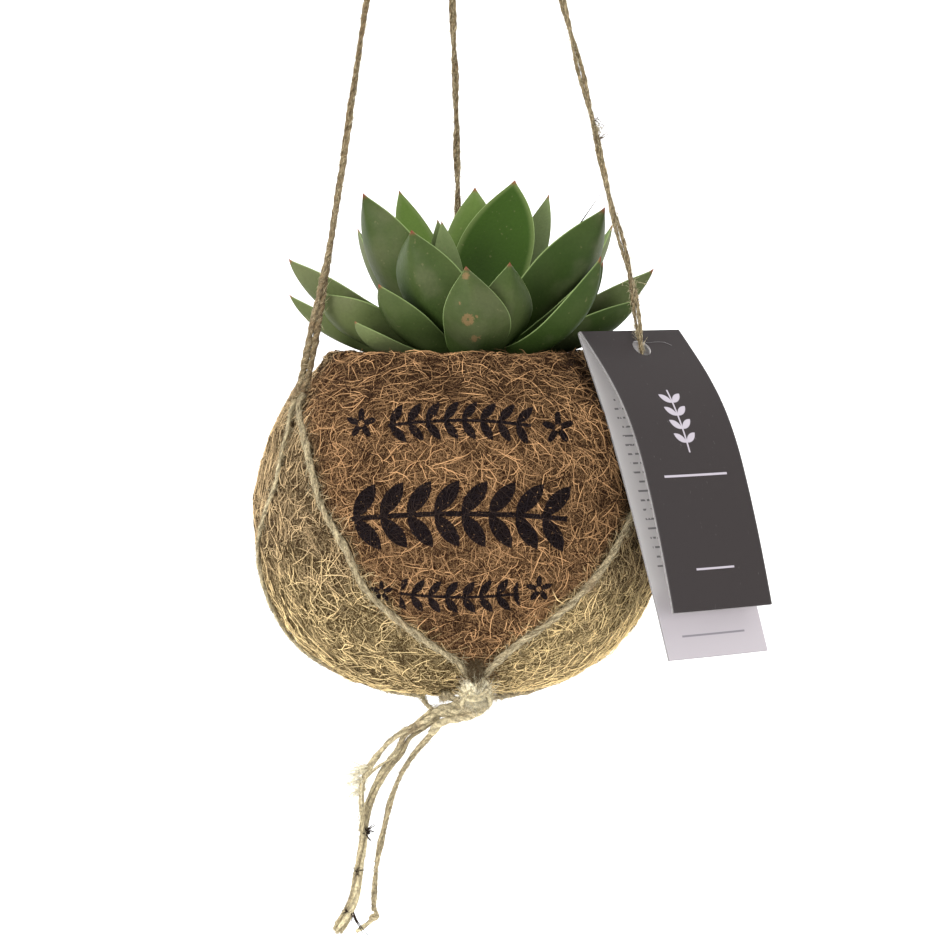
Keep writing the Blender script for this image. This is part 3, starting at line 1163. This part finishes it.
def card_points(profile):
    """Rows of points over one face of the card; its long edges curl forward a little."""
    curl = 0.0006 * across_at[None, :] ** 2 * np.clip(profile[:, :1] / 60, 0, 1)
    return (
        fold + profile[:, None, :1] * along_way + (profile[:, None, 1:] + curl[..., None]) * out
        + across_at[None, :, None] * across_way
    )


outside_points, inside_points = card_points(outer), card_points(inner_side)
rows = len(outer)
# Places on the flat sheet, for the print: along is negative on the front leaf
sheet_along = np.concatenate([-distances(front_line)[::-1], [-0.4, -0.1, 0.1, 0.4], distances(back_line)])
facing = grid_faces(rows, columns, around=False)
count = rows * columns
border = np.concatenate([
    np.arange(columns), np.arange(1, rows) * columns + columns - 1,
    (rows - 1) * columns + np.arange(columns - 2, -1, -1), np.arange(rows - 2, 0, -1) * columns,
])
edges = np.stack([border, np.roll(border, -1), np.roll(border, -1) + count, border + count], 1)
both = np.vstack([outside_points.reshape(-1, 3), inside_points.reshape(-1, 3)])
on_sheet = {
    "sheet_along": np.tile(np.repeat(sheet_along, columns), 2),
    "sheet_across": np.tile(np.tile(across_at, rows), 2),
}
dark = Shader("card_outside", Roughness=0.8, Specular_IOR_Level=0.14)
pale = Shader("card_inside", Roughness=0.8, Specular_IOR_Level=0.2)
edge = Shader("card_edge", Roughness=0.8, Specular_IOR_Level=0.2)
tag = make_piece("tag_card", [
    (both, [facing, (facing + count)[:, ::-1], edges[:, ::-1]], on_sheet),
], [dark.material, pale.material, edge.material])
sides = np.repeat([0, 1, 2], [len(facing), len(facing), len(edges)]).astype(np.int32)
tag.data.polygons.foreach_set("material_index", sides)


def punch_tag(place, way, radius, depth):
    """Cut a round hole through the card at a place in mm, along a direction."""
    angle = 2 * np.pi * np.arange(48) / 48
    side = unit(np.cross(way, [0.0, 0.0, 1.0]))
    other = np.cross(way, side)
    ring = radius * (np.cos(angle)[:, None] * side + np.sin(angle)[:, None] * other)
    rings = np.stack([place + ring - way * depth / 2, place + ring + way * depth / 2])
    points, faces = closed_tube(rings)
    mesh = bpy.data.meshes.new("punch")
    mesh.from_pydata((points * MM).tolist(), [], [f for group in faces for f in group.tolist()])
    mesh.materials.append(pale.material)
    punch = bpy.data.objects.new("punch", mesh)
    bpy.context.scene.collection.objects.link(punch)
    cut = tag.modifiers.new("punch", "BOOLEAN")
    cut.object = punch
    cut.solver = "EXACT"
    cut.material_mode = "TRANSFER"
    bpy.context.view_layer.update()
    cleaned = bpy.data.meshes.new_from_object(tag.evaluated_get(bpy.context.evaluated_depsgraph_get()))
    tag.modifiers.clear()
    tag.data = cleaned
    bpy.data.objects.remove(punch)


# The punched hole in the front leaf, and where the string comes out through the back leaf
lean = np.radians(19.4)
punch_tag(TAG_HOLE_PLACE, out * np.cos(lean) - along_way * np.sin(lean), TAG_HOLE_RADIUS, 6.0)
string_line = evened(smooth_line(STRINGS["string_right"]), 0.5)
behind = np.argmin(np.abs((string_line - fold) @ out + half_gap + CARD / 2))
punch_tag(string_line[behind], unit(string_line[behind + 4] - string_line[behind - 4]), 2.4, 6.0)
tag.data.polygons.foreach_set("use_smooth", np.ones(len(tag.data.polygons), bool))
tag.data.set_sharp_from_angle(angle=0.6)
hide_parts("swing_tag")

# A fine pale fibre lies on the card beside the hole; its points are across and along the front leaf
lying = np.array([[-1.7, 3.1], [-3.6, 5.9], [-8.1, 5.7], [-12.6, 6.0], [-15.2, 7.8]])
height = np.stack([np.interp(lying[:, 1], distances(front_line), front_line[:, k]) for k in range(2)], 1)
lift = height[:, 1:] + half_gap + CARD + 0.12
lying = fold + height[:, :1] * along_way + lift * out + lying[:, :1] * across_way
make_piece("tag_fibre", [twine_part(smooth_line(lying), 0.16, 0.9, sides=6)], [edge.material])


def card_finish(shader, base, light):
    """A printed card: fine paper tooth, faint scuffs and a worn edge."""
    place = shader.place()
    tooth = shader.noise(place, 3000.0, 2.0)
    scuff = shader.smooth(shader.noise(shader.stretched(place, (1, 1, 0.25)), 900.0, 2.0), 0.70, 0.80)
    across = shader.attribute("sheet_across")
    worn = shader.smooth(abs(across), 23.3, 24.0) * 0.5
    colour = shader.colour(shader.math("MAXIMUM", scuff * 0.25, worn), base, light)
    return colour, tooth


along = dark.attribute("sheet_along")
across = dark.attribute("sheet_across")
colour, tooth = card_finish(dark, (0.0300, 0.0250, 0.0250), (0.14, 0.13, 0.13))
# A plain sprig and two rules, printed pale on the front
down = -along
sprig = dark.below(abs(across), 0.25, 0.45)
sprig = sprig * dark.smooth(down, 29.0, 29.4) * dark.below(down, 55.0, 55.5)
cell = dark.math("SUBTRACT", dark.math("FRACT", down / 5.5 + 0.5), 0.5) * 5.5
a = abs(across) * 0.80 - (cell - 1.9) * 0.60 - 3.2
b = abs(across) * 0.60 + (cell - 1.9) * 0.80
bulge = 3.1
eye = dark.length(a, abs(b) + bulge) - (bulge + 1.3)
leaflets = dark.below(eye, -0.12, 0.12)
leaflets = leaflets * dark.smooth(down, 30.3, 30.4) * dark.below(down, 52.2, 52.3)
long_rule = dark.below(abs(down - 64.0), 0.35, 0.5) * dark.below(abs(across), 15.0, 15.3)
short_rule = dark.below(abs(down - 99.0), 0.3, 0.45) * dark.below(abs(across), 9.0, 9.3)
rules = dark.math("MAXIMUM", long_rule, short_rule)
print_share = dark.math("MAXIMUM", dark.math("MAXIMUM", sprig, leaflets), rules)
colour = dark.colour(print_share * 0.9, colour, (0.42, 0.385, 0.43))
dark.set(Base_Color=colour, Normal=dark.bump(tooth, 0.00005, 0.3))
colour, tooth = card_finish(pale, (0.56, 0.54, 0.535), (0.60, 0.58, 0.58))
along = pale.attribute("sheet_along")
across = pale.attribute("sheet_across")
colour = pale.colour(pale.smooth(along, 96.0, 112.0), colour, (0.385, 0.355, 0.375))
# Rows of short dashes and one rule, in place of small print
row = pale.math("SUBTRACT", pale.math("FRACT", along / 3.6), 0.5)
dashes = pale.below(abs(row), 0.08, 0.13) * pale.smooth(along, 24.0, 24.2)
dashes = dashes * pale.below(along, 92.0, 92.2)
gaps = pale.smooth(pale.noise(pale.stretched(pale.place(), (1, 1, 0.02)), 700.0, 0.0), 0.42, 0.46)
dashes = dashes * gaps * pale.below(abs(across), 18.5, 19.0)
colour = pale.colour(dashes * 0.8, colour, (0.10, 0.095, 0.10))
rule = pale.below(abs(along - 118.5), 0.3, 0.45) * pale.below(abs(across), 15.0, 15.3)
colour = pale.colour(rule * 0.8, colour, (0.15, 0.14, 0.16))
edge.set(Base_Color=edge.colour(edge.noise(edge.place(), 900.0, 2.0), (0.15, 0.14, 0.14), (0.26, 0.25, 0.25)))
pale.set(Base_Color=colour, Normal=pale.bump(tooth, 0.00005, 0.3))

# Floor and backdrop in one sweep
paper = Shader("studio_paper", Roughness=1.0, Specular_IOR_Level=0.0)
soft = paper.noise(paper.place(), 0.6, 1.0)
paper.set(Base_Color=paper.colour(soft, (0.93, 0.93, 0.93), (0.97, 0.97, 0.97)))
sweep = smooth_line([
    [-3000, -760], [-500, -760], [900, -760], [1700, -700], [2100, -300], [2250, 500], [2300, 2600],
], 12)
xs = np.linspace(-4500, 4500, 12)
sheet = np.stack([
    xs[None, :] + 0 * sweep[:, :1], sweep[:, :1] + 0 * xs[None, :], sweep[:, 1:] + 0 * xs[None, :],
], -1)
mesh = bpy.data.meshes.new("studio_sweep")
sheet_faces = grid_faces(len(sweep), len(xs), around=False)
mesh.from_pydata((sheet.reshape(-1, 3) * MM).tolist(), [], sheet_faces.tolist())
mesh.polygons.foreach_set("use_smooth", np.ones(len(mesh.polygons), bool))
mesh.materials.append(paper.material)
backdrop = bpy.data.objects.new("studio_sweep", mesh)
bpy.context.scene.collection.objects.link(backdrop)


def add_light(name, size, power, place, target, colour=(1.0, 1.0, 1.0)):
    """A square soft light that faces a target."""
    lamp = bpy.data.lights.new(name, "AREA")
    lamp.size = size
    lamp.energy = power
    lamp.color = colour
    holder = bpy.data.objects.new(name, lamp)
    holder.location = place
    holder.rotation_euler = (Vector(target) - Vector(place)).to_track_quat("-Z", "Y").to_euler()
    bpy.context.scene.collection.objects.link(holder)


add_light("key", 0.7, 21.5, (-0.95, -1.05, -0.12), (0.0, 0.0, -0.38))
add_light("fill", 1.2, 13.0, (1.2, -1.0, -0.4), (0.0, 0.0, -0.40))
add_light("rim_left", 0.8, 10.4, (-1.1, 0.9, 0.0), (0.0, 0.0, -0.38))
add_light("rim_right", 0.8, 10.4, (1.1, 0.9, 0.0), (0.0, 0.0, -0.38))
add_light("backdrop_wash", 2.5, 45.0, (0.0, 0.6, 1.3), (0.0, 2.2, -0.5))
world = bpy.data.worlds.new("studio")
world.use_nodes = True
world.node_tree.nodes["Background"].inputs[0].default_value = (1.0, 1.0, 1.0, 1.0)
world.node_tree.nodes["Background"].inputs[1].default_value = 0.78
bpy.context.scene.world = world
bpy.context.scene.view_settings.view_transform = "Standard"
